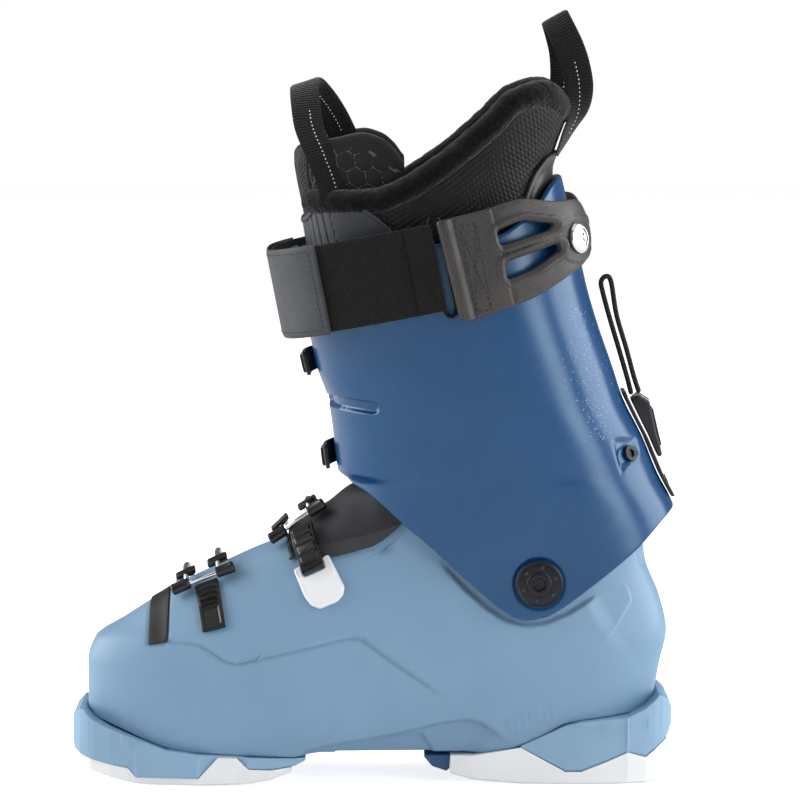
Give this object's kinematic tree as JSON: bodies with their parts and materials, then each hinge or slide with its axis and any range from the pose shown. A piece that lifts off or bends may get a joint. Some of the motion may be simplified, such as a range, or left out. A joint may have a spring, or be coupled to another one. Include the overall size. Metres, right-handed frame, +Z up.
{
  "type": "alpine ski boot",
  "caption": "Right ski boot: rigid lower shell, hinged cuff with walk lever, buckles over toothed ladders, power strap, plush liner with pull loops, and rockered grip soles.",
  "frame": {"origin": "on the ground under the middle of the bounding box, with the boot standing on its sole", "axes": "+Z up, toe towards -X and heel towards +X, medial side towards -Y and buckle levers towards +Y"},
  "size_m": [0.3007, 0.122, 0.3826],
  "materials": {
    "light_blue_plastic": "satin",
    "deep_blue_plastic": "satin",
    "charcoal_plastic": "matt",
    "navy_plastic": "satin",
    "white_rubber": "matt",
    "white_plastic": "satin",
    "black_moulding": "gloss",
    "yoke_elastomer": "grained",
    "leatherette": "grained",
    "webbing": "woven",
    "braided_cord": "braided",
    "liner_plush": "plush",
    "liner_felt": "felt",
    "aluminium": "polished",
    "chrome": "polished",
    "gunmetal": "satin",
    "dark_steel": "satin"
  },
  "bodies": {
    "shell": {"lower_shell": "light_blue_plastic", "instep_flap": "charcoal_plastic", "toe_band": "black_moulding", "toe_sole_plate": "light_blue_plastic", "toe_sole_grip": "white_rubber", "heel_sole_plate": "light_blue_plastic", "heel_sole_grip": "white_rubber", "arch_bumper": "navy_plastic", "boot_board": "liner_felt", "liner_foot": "liner_felt", "instep_keeper": "white_plastic", "toe_sole_screw_medial": "chrome", "toe_sole_screw_lateral": "chrome", "heel_sole_screw_medial": "chrome", "heel_sole_screw_lateral": "chrome", "toe_buckle_ladder": "black_moulding", "toe_buckle_base": "black_moulding", "instep_buckle_ladder": "black_moulding", "instep_buckle_base": "black_moulding"},
    "cuff": {"cuff": "deep_blue_plastic", "liner_upper": "liner_plush", "liner_tongue": "liner_plush", "front_pull_loop": "webbing", "rear_pull_loop": "webbing", "pivot_bolt_medial": "dark_steel", "pivot_bolt_lateral": "dark_steel", "cuff_screw_medial": "dark_steel", "cuff_screw_lateral": "dark_steel", "walk_base_plate": "black_moulding", "strap_webbing": "webbing", "strap_front_panel": "leatherette", "strap_ring": "chrome", "strap_yoke_medial": "yoke_elastomer", "strap_yoke_lateral": "yoke_elastomer", "strap_rivet_medial": "chrome", "strap_rivet_lateral": "chrome", "lower_cuff_buckle_ladder": "black_moulding", "lower_cuff_buckle_base": "black_moulding", "upper_cuff_buckle_ladder": "black_moulding", "upper_cuff_buckle_base": "black_moulding"},
    "walk_lever": {"walk_lever": "gunmetal", "lever_cord_loop": "braided_cord"},
    "toe_buckle_lever": {"toe_buckle_lever": "aluminium"},
    "toe_buckle_bail": {"toe_buckle_bail": "black_moulding", "toe_buckle_rod": "chrome"},
    "instep_buckle_lever": {"instep_buckle_lever": "aluminium"},
    "instep_buckle_bail": {"instep_buckle_bail": "black_moulding", "instep_buckle_rod": "chrome"},
    "lower_cuff_buckle_lever": {"lower_cuff_buckle_lever": "aluminium"},
    "lower_cuff_buckle_bail": {"lower_cuff_buckle_bail": "black_moulding", "lower_cuff_buckle_rod": "chrome"},
    "upper_cuff_buckle_lever": {"upper_cuff_buckle_lever": "aluminium"},
    "upper_cuff_buckle_bail": {"upper_cuff_buckle_bail": "black_moulding", "upper_cuff_buckle_rod": "chrome"}
  },
  "joints": [
    {"name": "cuff_pivot", "type": "hinge", "parent": "shell", "child": "cuff", "pos_m": [0.0825, -0.0004, 0.1015], "axis": [0, 1, 0], "range_deg": [0, 20]},
    {"name": "walk_lever_hinge", "type": "hinge", "parent": "cuff", "child": "walk_lever", "pos_m": [0.1434, -0.0004, 0.1625], "axis": [0, 1, 0], "range_deg": [0, 50]},
    {"name": "toe_buckle_lever_hinge", "type": "hinge", "parent": "shell", "child": "toe_buckle_lever", "pos_m": [-0.08191, 0.03385, 0.0922], "axis": [0.9781, 0, 0.2079], "range_deg": [0, 90]},
    {"name": "toe_buckle_bail_hinge", "type": "hinge", "parent": "toe_buckle_lever", "child": "toe_buckle_bail", "pos_m": [-0.08191, 0.03385, 0.0922], "axis": [0.9781, 0, 0.2079], "range_deg": [-108, 0]},
    {"name": "instep_buckle_lever_hinge", "type": "hinge", "parent": "shell", "child": "instep_buckle_lever", "pos_m": [-0.02721, 0.0351, 0.11105], "axis": [0.8746, 0, 0.4848], "range_deg": [0, 90]},
    {"name": "instep_buckle_bail_hinge", "type": "hinge", "parent": "instep_buckle_lever", "child": "instep_buckle_bail", "pos_m": [-0.02721, 0.0351, 0.11105], "axis": [0.8746, 0, 0.4848], "range_deg": [-108, 0]},
    {"name": "lower_cuff_buckle_lever_hinge", "type": "hinge", "parent": "cuff", "child": "lower_cuff_buckle_lever", "pos_m": [0.01842, 0.05193, 0.17154], "axis": [-0.2588, 0, 0.9659], "range_deg": [0, 90]},
    {"name": "lower_cuff_buckle_bail_hinge", "type": "hinge", "parent": "lower_cuff_buckle_lever", "child": "lower_cuff_buckle_bail", "pos_m": [0.01842, 0.05193, 0.17154], "axis": [-0.2588, 0, 0.9659], "range_deg": [-108, 0]},
    {"name": "upper_cuff_buckle_lever_hinge", "type": "hinge", "parent": "cuff", "child": "upper_cuff_buckle_lever", "pos_m": [0.00461, 0.05492, 0.21705], "axis": [-0.2588, 0, 0.9659], "range_deg": [0, 90]},
    {"name": "upper_cuff_buckle_bail_hinge", "type": "hinge", "parent": "upper_cuff_buckle_lever", "child": "upper_cuff_buckle_bail", "pos_m": [0.00461, 0.05492, 0.21705], "axis": [-0.2588, 0, 0.9659], "range_deg": [-108, 0]}
  ],
  "couplings": [
    {"joint": "toe_buckle_bail_hinge", "follows": "toe_buckle_lever_hinge", "ratio": -1.2},
    {"joint": "instep_buckle_bail_hinge", "follows": "instep_buckle_lever_hinge", "ratio": -1.2},
    {"joint": "lower_cuff_buckle_bail_hinge", "follows": "lower_cuff_buckle_lever_hinge", "ratio": -1.2},
    {"joint": "upper_cuff_buckle_bail_hinge", "follows": "upper_cuff_buckle_lever_hinge", "ratio": -1.2}
  ]
}
